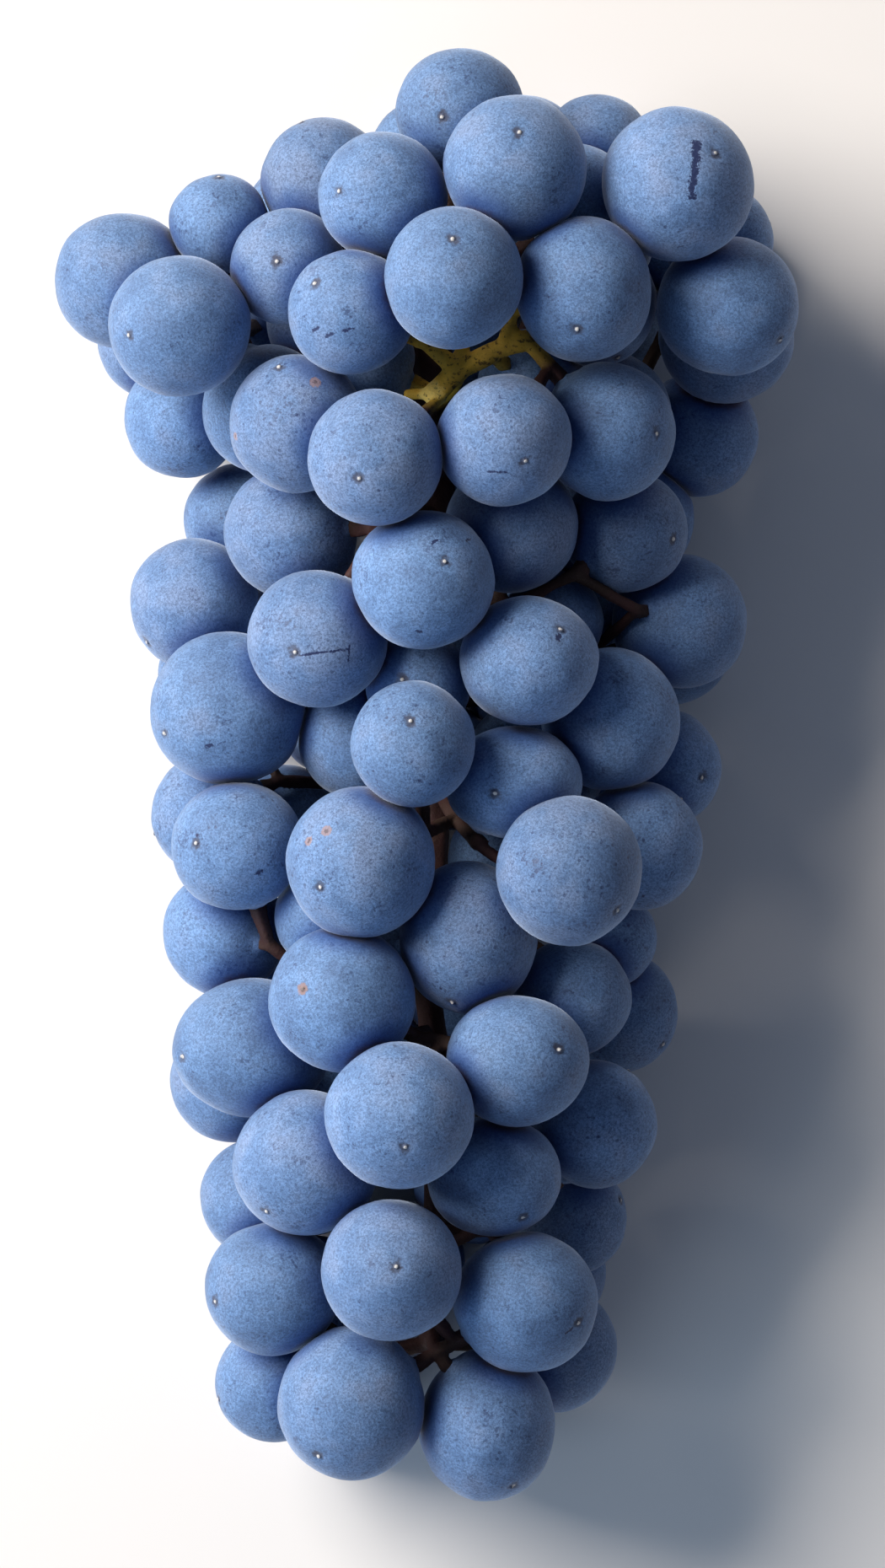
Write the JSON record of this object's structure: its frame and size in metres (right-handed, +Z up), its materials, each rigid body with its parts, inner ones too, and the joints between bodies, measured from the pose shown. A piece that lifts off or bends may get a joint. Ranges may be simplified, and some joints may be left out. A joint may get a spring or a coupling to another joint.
{
  "type": "bunch of grapes",
  "caption": "Tapering bunch of round dark blue grapes with a dusty bloom, lying on its side, each berry on its own pedicel of one branching stem.",
  "frame": {"origin": "on the surface that the bunch lies on, under the middle of its bounding box", "axes": "+Y along the bunch from its tip to its shoulders, +Z up out of the surface, +X to the right of the pictured face"},
  "size_m": [0.0968, 0.1884, 0.0688],
  "materials": {
    "grape_skin": "matte blue-grey bloom over a dark blue skin",
    "grape_skin_behind": "the same skin where less of the bloom is left",
    "grape_stem": "dull yellow-green stem with brown freckles"
  },
  "bodies": {
    "root": {"berry_01": "grape_skin", "berry_02": "grape_skin", "berry_03": "grape_skin", "berry_04": "grape_skin", "berry_05": "grape_skin", "berry_06": "grape_skin", "berry_07": "grape_skin", "berry_08": "grape_skin", "berry_09": "grape_skin", "berry_10": "grape_skin", "berry_11": "grape_skin", "berry_12": "grape_skin", "berry_13": "grape_skin", "berry_14": "grape_skin", "berry_15": "grape_skin", "berry_16": "grape_skin", "berry_17": "grape_skin", "berry_18": "grape_skin", "berry_19": "grape_skin", "berry_20": "grape_skin", "berry_21": "grape_skin", "berry_22": "grape_skin", "berry_23": "grape_skin", "berry_24": "grape_skin", "berry_25": "grape_skin", "berry_26": "grape_skin", "berry_27": "grape_skin", "berry_28": "grape_skin", "berry_29": "grape_skin", "berry_30": "grape_skin", "berry_31": "grape_skin", "berry_32": "grape_skin", "berry_33": "grape_skin", "berry_34": "grape_skin", "berry_35": "grape_skin", "berry_36": "grape_skin", "berry_37": "grape_skin", "berry_38": "grape_skin", "berry_39": "grape_skin", "berry_40": "grape_skin", "berry_41": "grape_skin", "berry_42": "grape_skin", "berry_43": "grape_skin", "berry_44": "grape_skin", "berry_45": "grape_skin", "berry_46": "grape_skin", "berry_47": "grape_skin", "berry_48": "grape_skin", "berry_49": "grape_skin", "berry_50": "grape_skin", "berry_51": "grape_skin", "back_berries_01": "grape_skin_behind", "back_berries_02": "grape_skin_behind", "back_berries_03": "grape_skin_behind", "back_berries_04": "grape_skin_behind", "back_berries_05": "grape_skin_behind", "back_berries_06": "grape_skin_behind", "back_berries_07": "grape_skin_behind", "back_berries_08": "grape_skin_behind", "stem": "grape_stem"}
  },
  "joints": []
}
